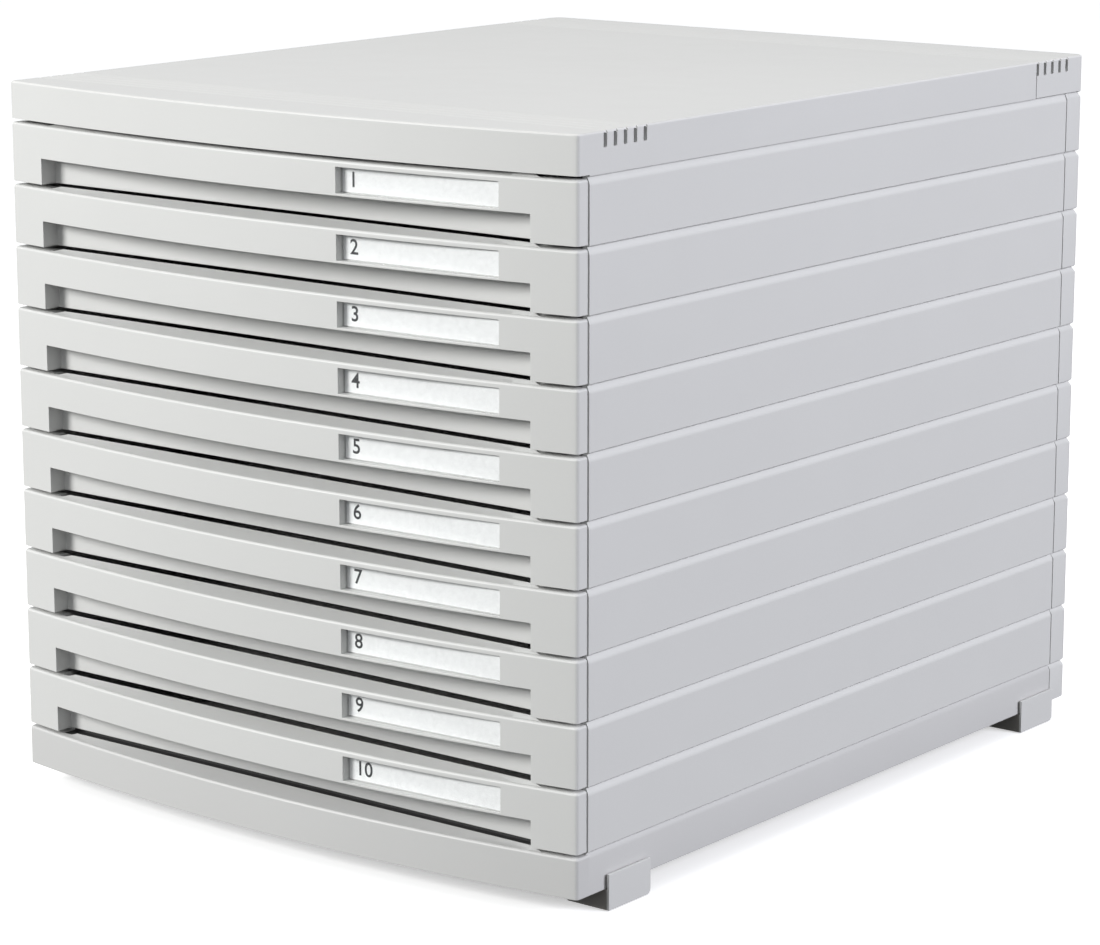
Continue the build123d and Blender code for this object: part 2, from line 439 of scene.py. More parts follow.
class Workpiece:
    """A mesh on the bench, shaped step by step; all sizes are millimetres."""

    def __init__(self, obj: bpy.types.Object) -> None:
        """Put a mesh object on the bench; it stands at the origin."""
        self.obj = obj

    @classmethod
    def block(cls, name: str, low: tuple, high: tuple) -> "Workpiece":
        """Start from a block between two corners.

        Args:
            name: the object's name.
            low: lowest corner.
            high: highest corner.

        Returns:
            The block.
        """
        bpy.ops.object.select_all(action="DESELECT")
        middle = metres((a + b) / 2 for a, b in zip(low, high))
        bpy.ops.mesh.primitive_cube_add(size=1.0, location=middle)
        obj = bpy.context.object
        obj.name = name
        obj.scale = metres(b - a for a, b in zip(low, high))
        return cls(settle(obj))

    @classmethod
    def disc(cls, name: str, centre_y: float, radius: float, low: float, high: float) -> "Workpiece":
        """Start from an upright disc whose rim becomes a bowed front.

        Args:
            name: the object's name.
            centre_y: its axis, at x = 0.
            radius: its radius.
            low: its underside.
            high: its top.

        Returns:
            The disc.
        """
        bpy.ops.object.select_all(action="DESELECT")
        bpy.ops.mesh.primitive_cylinder_add(
            vertices=DISC_SIDES,
            radius=radius * MM,
            depth=(high - low) * MM,
            location=metres((0.0, centre_y, (low + high) / 2)),
        )
        bpy.context.object.name = name
        return cls(settle(bpy.context.object))

    def pick(self, kind: str, test: Callable[[object], bool]) -> "Workpiece":
        """Select the faces or the edges that pass a test.

        Args:
            kind: FACE or EDGE.
            test: takes one face or edge of the mesh.

        Returns:
            The workpiece.
        """
        with editing(self.obj) as mesh:
            bpy.ops.mesh.select_mode(type=kind)
            bpy.ops.mesh.select_all(action="DESELECT")
            if kind == "FACE":
                mesh.normal_update()
            for element in mesh.faces if kind == "FACE" else mesh.edges:
                element.select_set(test(element))
            bmesh.update_edit_mesh(self.obj.data)
        return self

    def faces(self, test: Callable[[Vector, Vector], bool]) -> "Workpiece":
        """Select the faces whose middle and normal pass a test."""
        return self.pick("FACE", lambda face: test(face.calc_center_median() / MM, face.normal))

    def edges(self, test: Callable[[Vector, Vector], bool]) -> "Workpiece":
        """Select the edges whose two ends pass a test."""
        return self.pick("EDGE", lambda edge: test(*(end.co / MM for end in edge.verts)))

    def cut(self, place: tuple, normal: tuple, keep: Keep = Keep.BOTH) -> "Workpiece":
        """Cut the whole mesh with a plane and close the cut.

        Args:
            place: a point on the plane.
            normal: the plane's normal.
            keep: side of the plane that stays, or both with only new edges.

        Returns:
            The workpiece.
        """
        with editing(self.obj):
            bpy.ops.mesh.select_all(action="SELECT")
            bpy.ops.mesh.bisect(
                plane_co=metres(place),
                plane_no=normal,
                use_fill=keep is not Keep.BOTH,
                clear_outer=keep is Keep.BELOW,
                clear_inner=keep is Keep.ABOVE,
                threshold=CUT_REACH,
            )
        return self

    def between(self, left: float, right: float) -> "Workpiece":
        """Cut away what lies beyond a left and a right end."""
        return self.cut((left, 0, 0), (1, 0, 0), Keep.ABOVE).cut((right, 0, 0), (1, 0, 0), Keep.BELOW)

    def extrude(self, move: tuple) -> "Workpiece":
        """Extrude the selected faces by a move."""
        with editing(self.obj):
            bpy.ops.mesh.extrude_region_move(TRANSFORM_OT_translate={"value": metres(move)})
        return self

    def slide(self, move: tuple) -> "Workpiece":
        """Move what is selected."""
        with editing(self.obj):
            bpy.ops.transform.translate(value=metres(move))
        return self

    def resize(self, factors: tuple, centre: tuple) -> "Workpiece":
        """Scale what is selected about a point."""
        with editing(self.obj):
            bpy.ops.transform.resize(value=factors, center_override=metres(centre))
        return self

    def inset(self, width: float) -> "Workpiece":
        """Inset the selected faces by a width."""
        with editing(self.obj):
            bpy.ops.mesh.inset(thickness=width * MM)
        return self

    def round(self, radius: float, segments: int = 4) -> "Workpiece":
        """Round the selected edges to a radius."""
        with editing(self.obj):
            bpy.ops.mesh.bevel(
                offset=radius * MM, segments=segments, affect="EDGES", clamp_overlap=False
            )
        return self

    def modify(self, kind: str, **settings: object) -> "Workpiece":
        """Add a modifier and apply it at once.

        Args:
            kind: Blender's name of the modifier type.
            settings: attributes of the modifier.

        Returns:
            The workpiece.
        """
        step = self.obj.modifiers.new("step", kind)
        for name, value in settings.items():
            setattr(step, name, value)
        only(self.obj)
        bpy.ops.object.modifier_apply(modifier=step.name)
        return self

    def combine(self, operation: str, others: Iterable["Workpiece"]) -> "Workpiece":
        """Join or carve (UNION, DIFFERENCE) with other workpieces, which are used up."""
        for other in others:
            self.modify("BOOLEAN", operation=operation, object=other.obj, solver="EXACT")
            bpy.data.objects.remove(other.obj)
        return self

    def carve(self, *tools: "Workpiece") -> "Workpiece":
        """Take the shapes of other workpieces away."""
        return self.combine("DIFFERENCE", tools)

    def weld(self, *others: "Workpiece") -> "Workpiece":
        """Join other workpieces on."""
        return self.combine("UNION", others)

    def row(self, count: int, step: tuple) -> "Workpiece":
        """Repeat the workpiece, so that a row of this count and step stands there."""
        return self.modify(
            "ARRAY",
            count=count,
            use_relative_offset=False,
            use_constant_offset=True,
            constant_offset_displace=metres(step),
        )

    def twin(self, name: str, move: tuple = (0.0, 0.0, 0.0), mirrored: bool = False) -> "Workpiece":
        """Copy the workpiece with a mesh of its own.

        Args:
            name: name of the copy.
            move: where it goes from here.
            mirrored: whether left and right change places.

        Returns:
            The copy.
        """
        only(self.obj)
        bpy.ops.object.duplicate(linked=False)
        copy = bpy.context.object
        copy.name = name
        copy.location = metres(move)
        if mirrored:
            copy.scale = (-1.0, 1.0, 1.0)
        made = Workpiece(settle(copy))
        if mirrored:
            with editing(made.obj):
                bpy.ops.mesh.select_all(action="SELECT")
                bpy.ops.mesh.normals_make_consistent(inside=False)
        return made

    def pair(self) -> tuple["Workpiece", "Workpiece"]:
        """Hand out the mirror image about the middle plane and the workpiece."""
        return self.twin("mirror_image", mirrored=True), self

    def mirror_on(self) -> "Workpiece":
        """Add the mirror image about the middle plane."""
        return self.join(self.twin("mirror_image", mirrored=True))

    def join(self, *others: "Workpiece") -> "Workpiece":
        """Make separate shells one object."""
        only(self.obj)
        for other in others:
            other.obj.select_set(True)
        bpy.ops.object.join()
        return self

    def soften(self, width: float, angle: float = 35.0) -> "Workpiece":
        """Round every sharp edge a little.

        Args:
            width: how far the rounding reaches.
            angle: edges that turn by more degrees than this are rounded.

        Returns:
            The workpiece.
        """
        return self.modify(
            "BEVEL",
            width=width * MM,
            segments=2,
            limit_method="ANGLE",
            angle_limit=math.radians(angle),
            use_clamp_overlap=False,
            miter_outer="MITER_ARC",
        )

    def polish(self, angle: float = 40.0) -> "Workpiece":
        """Merge doubles, turn the faces outwards and shade the mesh.

        Args:
            angle: edges that turn by more degrees than this stay sharp.

        Returns:
            The workpiece.
        """
        with editing(self.obj):
            bpy.ops.mesh.select_all(action="SELECT")
            bpy.ops.mesh.remove_doubles(threshold=MERGE_REACH)
            bpy.ops.mesh.dissolve_degenerate(threshold=MERGE_REACH)
            bpy.ops.mesh.normals_make_consistent(inside=False)
        only(self.obj)
        bpy.ops.object.shade_smooth_by_angle(angle=math.radians(angle))
        return self.modify("WEIGHTED_NORMAL", keep_sharp=True)

    def dress(self, finish: Finish, body: str, *replaced: str) -> bpy.types.Object:
        """Give the finished piece its surface and the body that carries it.

        Args:
            finish: its surface.
            body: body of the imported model.
            replaced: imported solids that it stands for.

        Returns:
            The piece.
        """
        self.obj.data.materials.clear()
        self.obj.data.materials.append(finish.material())
        if replaced:
            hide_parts(*replaced)
        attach(self.obj, body)
        LOG.info("%s: %d faces, on %s", self.obj.name, len(self.obj.data.polygons), body)
        return self.obj


def paint_node(name: str, finish: Finish) -> None:
    """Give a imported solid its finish.

    Args:
        name: the node's name.
        finish: its surface.
    """
    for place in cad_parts[name].material_slots:
        place.material = finish.material()
    LOG.info("%s: packed solid painted", name)


# ---------------------------------------------------------------- the box


@dataclass(frozen=True)
class Layout:
    """Sizes and places that the sub-assemblies share, in millimetres."""

    levels: int = 10
    pitch: float = 24.0
    half_width: float = 137.0
    front_y: float = -164.5  # plane of the front corners
    bulge: float = 11.0
    rear_y: float = 175.5
    base_z: float = 8.0
    stack_z: float = 24.0
    cover_z: float = 264.0
    top_z: float = 279.0
    wall: float = 3.0
    wall_front_y: float = -158.2
    wall_rear_y: float = 160.7
    return_back_y: float = -159.1  # back of the fronts' side returns
    half_gap: float = 0.7  # from a level's boundary to a front
    corner_radius: float = 1.2
    rear_radius: float = 5.0
    groove_height: float = 2.4
    groove_depth: float = 1.1
    groove_ledge: float = 0.4
    lap_length: float = 5.0
    lap_skin: float = 1.5
    soft_edge: float = 0.2
    fine_edge: float = 0.12
    sharp_angle: float = 30.0  # degrees from which an edge of cover and base stays sharp
    band_back_y: float = -164.1  # rear edge of the fronts' upper band
    rise_left: float = -115.0  # rise along that edge
    rise_right: float = 122.0
    rise_height: float = 1.1
    rise_edge: float = 0.8  # level strip on its crest
    rise_setback: float = 1.3  # its foot, behind the bowed front
    rise_ramp: float = 4.0
    rise_strips: int = 20
    rise_sink: float = 0.05  # how far its foot goes into the front

    @property
    def inner_half(self) -> float:
        """Half the width between the side walls."""
        return self.half_width - self.wall

    @property
    def bow_radius(self) -> float:
        """Radius of the bowed fronts."""
        return (self.half_width**2 + self.bulge**2) / (2 * self.bulge)

    def level_z(self, number: int) -> float:
        """Bottom of a drawer level; level 1 is under the cover."""
        return self.cover_z - number * self.pitch

    def bowed_slab(self, name: str, inset: float, back_y: float, low: float, high: float) -> Workpiece:
        """Cut a slab with a bowed front from a disc.

        Args:
            name: the object's name.
            inset: distance inside the outline of the fronts and sides.
            back_y: its straight back.
            low: its underside.
            high: its top.

        Returns:
            The slab.
        """
        side = self.half_width - inset
        centre_y = self.front_y - self.bulge + self.bow_radius
        slab = Workpiece.disc(name, centre_y, self.bow_radius - inset, low, high)
        return slab.between(-side, side).cut((0, back_y, 0), (0, 1, 0), Keep.BELOW)

    def round_corners(self, slab: Workpiece) -> Workpiece:
        """Round the two upright front corners of a bowed slab."""
        near, side = self.front_y + 0.5, self.half_width - 0.1
        slab.edges(lambda a, b: max(a.y, b.y) < near and min(abs(a.x), abs(b.x)) > side)
        return slab.round(self.corner_radius)

    def round_front(self, slab: Workpiece, top: float, rim: float) -> Workpiece:
        """Round the two front corners and the upper rim of a bowed front.

        Args:
            slab: bowed slab that ends at the side returns.
            top: its top.
            rim: radius of the rim.

        Returns:
            The slab.
        """
        self.round_corners(slab)
        back = self.return_back_y - 0.1
        slab.edges(lambda a, b: min(a.z, b.z) > top - 0.01 and min(a.y, b.y) < back)
        return slab.round(rim)

    def rise(self, foot: float) -> Workpiece:
        """Shape the rise along the band's rear edge, which slopes down to the front.

        Args:
            foot: top of the front.

        Returns:
            The rise.
        """
        crest, edge_y = foot + self.rise_height, self.band_back_y - self.rise_edge
        rise = self.bowed_slab("rise", self.rise_setback, self.band_back_y, foot - 1, crest)
        rise.between(self.rise_left, self.rise_right).cut((0, edge_y, 0), (0, 1, 0))
        strip = (self.rise_right - self.rise_left) / self.rise_strips
        for number in range(1, self.rise_strips):
            rise.cut((self.rise_left + number * strip, 0, 0), (1, 0, 0))
        rise.edges(lambda a, b: min(a.z, b.z) > crest - 0.01 and max(a.y, b.y) < edge_y - 0.5)
        rise.slide((0, 0, -self.rise_height - self.rise_sink))
        for end, way in ((self.rise_left, 1), (self.rise_right, -1)):
            rise.edges(
                lambda a, b: min(a.z, b.z) > crest - 0.01
                and max(abs(a.x - end), abs(b.x - end)) < 0.01
                and min(a.y, b.y) > edge_y - 0.1
            )
            rise.slide((way * self.rise_ramp, 0, 0))
        return rise


@dataclass
class DrawerStack:
    """Ten alike drawers: a tray with a bowed front, modelled once and copied."""

    layout: Layout
    recess_half: float = 118.3
    recess_back_y: float = -159.9
    recess_top: float = 10.7
    shelf_top: float = 12.3
    rim_radius: float = 1.0
    wall_low: float = 1.1  # underside of the recess wall
    tray_half: float = 133.4
    tray_rear_y: float = 170.9
    tray_low: float = 1.9
    tray_top: float = 22.8
    front_wall_top: float = 20.8
    wall: float = 1.8
    floor: float = 1.6
    tray_corner: float = 3.0
    floor_corner: float = 1.0

    def front(self, label: "LabelHolder") -> Workpiece:
        """Shape the bowed front with its finger recess, trough and label pocket.

        Args:
            label: holder whose pocket is carved.

        Returns:
            The front.
        """
        plan = self.layout
        low, high = plan.half_gap, plan.pitch - plan.half_gap
        front = plan.bowed_slab("drawer_form", 0.0, plan.return_back_y, low, high)
        plan.round_front(front, high, self.rim_radius)
        half, back, far = self.recess_half, self.recess_back_y, plan.front_y - 2 * plan.bulge
        recess = Workpiece.block("recess", (-half, far, -1), (half, back, self.recess_top))
        trough = Workpiece.block(
            "trough", (-half, plan.band_back_y, self.shelf_top), (half, back, plan.pitch + 1)
        )
        return front.weld(plan.rise(high)).carve(recess, trough, label.pocket())

    def tray(self) -> Workpiece:
        """Shape the open tray, with the low front wall behind the trough.

        Returns:
            The tray.
        """
        half, back = self.tray_half, self.recess_back_y
        tray = Workpiece.block("tray", (-half, back, self.tray_low), (half, self.tray_rear_y, self.tray_top))
        depth = self.tray_top - self.tray_low - self.floor
        tray.faces(lambda middle, normal: normal.z > 0.9).inset(self.wall).extrude((0, 0, -depth))
        inner = half - self.wall + 0.1
        tray.edges(lambda a, b: abs(a.z - b.z) > 5 and abs(a.x) < inner and abs(b.x) < inner)
        tray.round(self.tray_corner, 6)
        deck = self.tray_low + self.floor
        tray.edges(lambda a, b: max(abs(a.z - deck), abs(b.z - deck)) < 0.01)
        tray.round(self.floor_corner, 3)
        wall = Workpiece.block(
            "wall", (-self.recess_half, back, self.wall_low), (self.recess_half, back + self.wall, deck + 1)
        )
        return tray.weld(wall)

    def gap(self) -> Workpiece:
        """Make the tool that opens the dark gap behind the band."""
        back = self.recess_back_y
        return Workpiece.block(
            "gap",
            (-self.recess_half, back - 1, self.front_wall_top),
            (self.recess_half, back + self.wall + 0.05, self.layout.pitch + 1),
        )

    def build(self, label: "LabelHolder") -> None:
        """Model one drawer and set a copy of it into every level.

        Args:
            label: label holder of every drawer.
        """
        first = self.front(label).weld(self.tray()).carve(self.gap())
        first.soften(self.layout.soft_edge).polish()
        for number in range(self.layout.levels, 0, -1):
            body = f"drawer_{number:02d}"
            move = (0, 0, self.layout.level_z(number))
            piece = first.twin(f"drawer_shell_{number:02d}", move)
            piece.dress(DRAWER_PLASTIC, body, body)
        bpy.data.objects.remove(first.obj)


@dataclass
class LabelHolder:
    """Pocket, clear strip, card and number of every drawer front."""

    layout: Layout
    left: float = 36.8
    length: float = 69.0
    low: float = 11.6
    high: float = 21.0
    floor_left_y: float = -170.9
    floor_right_y: float = -167.6
    card_top: float = 0.4  # front of the card, above the pocket's floor
    strip_gap: float = 0.5
    strip_thickness: float = 0.8
    play: float = 0.04
    rim: float = 0.8  # raised upper and lower border of the strip
    rim_step: float = 0.2
    soft_edge: float = 0.05
    cap_height: float = 4.8
    cap_share: float = 0.62  # of the letter size
    stroke: float = 0.1  # added round the letters' outline
    number_margin: float = 3.4
    ink_thickness: float = 0.02

    @property
    def slope(self) -> float:
        """How much the pocket's floor comes back from left to right."""
        return (self.floor_right_y - self.floor_left_y) / self.length

    def slab(self, name: str, near: float, far: float, play: float) -> Workpiece:
        """Shape an upright slab that follows the pocket's slanting floor.

        Args:
            name: the object's name.
            near: distance of its back from the floor.
            far: distance of its front from the floor.
            play: distance from the pocket's ends.

        Returns:
            The slab, at level zero.
        """
        left, right = self.left + play, self.left + self.length - play
        start = self.floor_left_y + self.slope * play
        slab = Workpiece.block(
            name, (left, start - far, self.low + play), (right, start - near, self.high - play)
        )
        slab.edges(lambda a, b: min(a.x, b.x) > right - 1)
        return slab.slide((0, self.slope * (right - left), 0))

    def pocket(self) -> Workpiece:
        """Make the tool that carves the pocket."""
        return self.slab("pocket", 0.0, 4 * self.layout.bulge, 0.0)

    def strip(self) -> Workpiece:
        """Shape the clear strip with a raised border.

        Returns:
            The strip, at level zero.
        """
        far = self.strip_gap + self.strip_thickness
        strip = self.slab("label_strip", self.strip_gap, far, self.play)
        for height in (self.low + self.rim, self.high - self.rim):
            strip.cut((0, 0, height), (0, 0, 1))
        middle_z = (self.low + self.high) / 2
        strip.faces(lambda middle, normal: normal.y < -0.9 and abs(middle.z - middle_z) < 1)
        return strip.slide((0, self.rim_step, 0)).soften(self.soft_edge).polish()

    def number(self, level: int) -> Workpiece:
        """Print a plain number on the card.

        Args:
            level: the number.

        Returns:
            The number as a thin closed mesh, in its level's place.
        """
        bpy.ops.object.select_all(action="DESELECT")
        bpy.ops.object.text_add()
        text = bpy.context.object
        text.name = f"label_number_{level:02d}"
        text.data.body = str(level)
        text.data.size = self.cap_height * MM / self.cap_share
        text.data.extrude = self.ink_thickness / 2 * MM
        text.data.offset = self.stroke * MM
        text.data.align_y = "CENTER"
        only(text)
        bpy.ops.object.convert(target="MESH")
        number = bpy.context.object
        face = self.floor_left_y - self.card_top - self.ink_thickness
        number.rotation_euler = (math.radians(90), 0.0, math.atan(self.slope))
        number.location = metres(
            (
                self.left + self.number_margin,
                face + self.slope * self.number_margin,
                self.layout.level_z(level) + (self.low + self.high) / 2,
            )
        )
        return Workpiece(settle(number)).polish()

    def build(self) -> None:
        """Set strip, card and number into every drawer front."""
        first = self.strip()
        for level in range(1, self.layout.levels + 1):
            body = f"drawer_{level:02d}"
            move = (0, 0, self.layout.level_z(level))
            strip = first.twin(f"label_strip_{level:02d}", move)
            strip.dress(WINDOW_CLEAR, body, f"label_window_{level:02d}").visible_shadow = False
            self.number(level).dress(CARD_INK, body)
            paint_node(f"label_card_{level:02d}", CARD_PAPER)
        bpy.data.objects.remove(first.obj)


@dataclass
class TopCover:
    """Lid with a bowed lip, two bands of fine lines and four rows of slots."""

    layout: Layout
    plate: float = 2.6
    back: float = 2.6
    edge_radius: float = 0.8
    lower_radius: float = 0.4
    count: int = 5
    step: float = 5.7
    first_front: float = 15.0
    last_rear: float = 15.6
    slot_width: float = 2.0
    slot_height: float = 5.0
    slot_skin: float = 0.8
    slot_corner: float = 0.5
    line_width: float = 2.6
    line_depth: float = 0.5
    line_fall: float = 1.0  # how far a line dips where it runs over the edge
    tab_seam: float = 0.5
    tab_lift: float = 0.4

    def hull(self) -> Workpiece:
        """Shape the lid's closed outside.

        Returns:
            The lid without its inside.
        """
        plan = self.layout
        lid = plan.bowed_slab("cover_lid", 0.0, plan.rear_y, plan.cover_z, plan.top_z)
        rear = plan.rear_y - 0.1
        lid.edges(lambda a, b: min(a.y, b.y) > rear and abs(a.z - b.z) > 5)
        lid.round(plan.rear_radius, 8)
        plan.round_corners(lid)
        top, low = plan.top_z - 0.01, plan.cover_z + 0.01
        lid.edges(lambda a, b: min(a.z, b.z) > top).round(self.edge_radius, 6)
        return lid.edges(lambda a, b: max(a.z, b.z) < low).round(self.lower_radius, 2)

    def inside(self) -> Workpiece:
        """Make the tool that hollows the lid."""
        plan = self.layout
        back = plan.rear_y - self.back
        return plan.bowed_slab("inside", plan.wall, back, plan.cover_z - 5, plan.top_z - self.plate)

    def line(self, first: float) -> Workpiece:
        """Make the tool of one band of lines, which run over the edge into the slots.

        A line is steep on its near side and rises gently on its far side.

        Args:
            first: middle of the foremost line.

        Returns:
            Five bars in a row.
        """
        plan = self.layout
        half, reach = self.line_width / 2, plan.half_width + 2
        floor, over = plan.top_z - self.line_depth, plan.top_z + 2
        bar = Workpiece.block("line", (-reach, first - half, floor), (reach, first + half, over))
        bar.edges(lambda a, b: min(a.y, b.y) > first and max(a.z, b.z) < floor + 0.1)
        bar.slide((0, 0, self.line_depth))
        bar.edges(lambda a, b: max(a.y, b.y) < first and max(a.z, b.z) < floor + 0.1)
        bar.slide((0, self.line_width / 4, 0))
        ends = (plan.half_width - self.edge_radius, plan.half_width - self.edge_radius / 2)
        for sign in (-1, 1):
            for end in ends:
                bar.cut((sign * end, 0, 0), (1, 0, 0))
        bar.edges(lambda a, b: min(abs(a.x), abs(b.x)) > ends[1] - 0.01 and max(a.z, b.z) < over - 0.1)
        bar.slide((0, 0, -self.line_fall))
        return bar.row(self.count, (0, self.step, 0))

    def slots(self, first: float) -> Workpiece:
        """Make the tool of the slots at both ends of a band.

        Args:
            first: middle of the foremost slot.

        Returns:
            Ten bars with rounded corners.
        """
        plan = self.layout
        half, high = self.slot_width / 2, plan.top_z - self.slot_skin
        low = high - self.slot_height
        slot = Workpiece.block(
            "slot", (plan.inner_half - 1, first - half, low), (plan.half_width + 1, first + half, high)
        )
        slot.edges(lambda a, b: abs(a.x - b.x) > 1).round(self.slot_corner, 3)
        return slot.row(self.count, (0, self.step, 0)).mirror_on()

    def tab(self, seam_y: float) -> Workpiece:
        """Make the tool that frees the rear tab on the right.

        Args:
            seam_y: front of its upright seam.

        Returns:
            Seam and lower edge.
        """
        plan = self.layout
        inner, outer = plan.inner_half - 1, plan.half_width + 1
        top = plan.top_z - self.slot_skin - self.slot_height + 1
        seam = Workpiece.block("tab", (inner, seam_y, plan.cover_z - 1), (outer, seam_y + self.tab_seam, top))
        foot = Workpiece.block(
            "tab_foot",
            (inner, seam_y + 0.1, plan.cover_z - 2),
            (outer, plan.rear_y - plan.rear_radius, plan.cover_z + self.tab_lift),
        )
        return seam.weld(foot)

    def build(self) -> None:
        """Model the lid."""
        plan = self.layout
        front = plan.front_y + self.first_front
        rear = plan.rear_y - self.last_rear - (self.count - 1) * self.step
        lip = Workpiece.block(
            "lip_gap",
            (-plan.half_width - 1, plan.front_y - 2 * plan.bulge, plan.cover_z - 1),
            (plan.half_width + 1, plan.wall_front_y, plan.cover_z + plan.half_gap),
        )
        lid = self.hull().carve(self.inside(), lip)
        lid.carve(self.line(front), self.line(rear), self.slots(front), self.slots(rear))
        lid.carve(*self.tab(rear - self.slot_width / 2).pair())
        lid.polish(plan.sharp_angle).dress(HOUSING_PLASTIC, "housing", "top_cover")


@dataclass
class SideWalls:
    """One wall for each level and side, grooved at its top, with a runner inside."""

    layout: Layout
    runner_width: float = 6.0
    runner_height: float = 1.6
    runner_setback: float = 1.7
    knee_radius: float = 0.8  # where the groove starts

    def wall(self) -> Workpiece:
        """Shape the right wall of one level.

        Returns:
            The wall, bottom at zero.
        """
        plan = self.layout
        inner, outer = plan.inner_half, plan.half_width
        wall = Workpiece.block(
            "wall_form", (inner, plan.wall_front_y, 0), (outer, plan.wall_rear_y, plan.pitch)
        )
        wall.cut((0, 0, plan.pitch - plan.groove_height), (0, 0, 1))
        wall.cut((0, 0, plan.groove_ledge), (0, 0, 1))
        wall.edges(lambda a, b: min(a.x, b.x) > outer - 0.1 and min(a.z, b.z) > plan.pitch - 0.1)
        wall.slide((-plan.groove_depth, 0, 0))
        wall.edges(lambda a, b: min(a.x, b.x) > outer - 0.1 and max(a.z, b.z) < 0.1)
        wall.slide((-plan.groove_ledge, 0, 0))
        knee = plan.pitch - plan.groove_height
        wall.edges(lambda a, b: min(a.x, b.x) > outer - 0.1 and max(abs(a.z - knee), abs(b.z - knee)) < 0.1)
        wall.round(self.knee_radius, 3)
        lap = Workpiece.block(
            "lap",
            (inner - 1, plan.wall_rear_y - plan.lap_length, -1),
            (outer - plan.lap_skin, plan.wall_rear_y + 1, plan.pitch + 1),
        )
        runner = Workpiece.block(
            "runner",
            (inner - self.runner_width, plan.wall_front_y + self.runner_setback, 0),
            (inner + 0.5, plan.wall_rear_y - plan.lap_length, self.runner_height),
        )
        return wall.carve(lap).weld(runner).soften(plan.fine_edge)

    def build(self) -> None:
        """Set the walls of both sides into every level."""
        right = self.wall()
        left = right.twin("wall_form_left", mirrored=True)
        for side, form in (("right", right.polish()), ("left", left.polish())):
            for number in range(1, self.layout.levels + 1):
                move = (0, 0, self.layout.level_z(number))
                wall = form.twin(f"side_wall_{side}_{number:02d}", move)
                wall.dress(HOUSING_PLASTIC, "housing", f"side_{side}_{number:02d}")
            bpy.data.objects.remove(form.obj)


@dataclass
class RearPanel:
    """Grooved back that wraps round both rear corners."""

    layout: Layout
    wrap: float = 14.2
    back: float = 2.6
    clearance: float = 0.2
    ledge_rise: float = 0.03  # height of the groove's upright lower side

    def draw_in(self, panel: Workpiece, z: float, depth: float) -> None:
        """Draw the panel's selected ring, at height z, in by a depth."""
        half, low_y = self.layout.half_width, self.layout.rear_y - self.wrap
        panel.resize(((half - depth) / half, (self.wrap - depth) / self.wrap, 1), (0, low_y, z))

    def ring(self, panel: Workpiece, z: float, depth: float = 0.0) -> None:
        """Cut a ring round the panel and draw it in.

        Args:
            panel: the panel.
            z: height of the ring.
            depth: how far it goes in.
        """
        panel.cut((0, 0, z), (0, 0, 1))
        if depth > 0:
            panel.edges(lambda a, b: max(abs(a.z - z), abs(b.z - z)) < 0.005)
            self.draw_in(panel, z, depth)

    def build(self) -> None:
        """Model the panel."""
        plan = self.layout
        low_y = plan.rear_y - self.wrap
        panel = Workpiece.block(
            "rear_wall", (-plan.half_width, low_y, plan.base_z), (plan.half_width, plan.rear_y, plan.cover_z)
        )
        panel.edges(lambda a, b: min(a.y, b.y) > low_y + 1 and abs(a.z - b.z) > 5)
        panel.round(plan.rear_radius, 8)
        for number in range(plan.levels + 1):
            joint = plan.cover_z - number * plan.pitch
            self.ring(panel, joint - plan.groove_height)
            if number:
                self.ring(panel, joint + plan.groove_ledge)
                self.ring(panel, joint + self.ledge_rise, plan.groove_ledge)
                self.ring(panel, joint, plan.groove_depth)
        top = plan.cover_z - 0.01
        panel.edges(lambda a, b: min(a.z, b.z) > top)
        self.draw_in(panel, plan.cover_z, plan.groove_depth)
        inner = plan.inner_half
        room = Workpiece.block(
            "room", (-inner, low_y - 1, plan.base_z - 1), (inner, plan.rear_y - self.back, plan.cover_z + 1)
        )
        tongue = Workpiece.block(
            "tongue",
            (inner, plan.wall_rear_y - plan.lap_length + self.clearance, plan.base_z),
            (plan.half_width - plan.lap_skin - self.clearance, low_y + 0.5, plan.cover_z),
        )
        panel.carve(room).weld(*tongue.pair())
        panel.soften(plan.fine_edge).polish().dress(HOUSING_PLASTIC, "housing", "rear_panel")


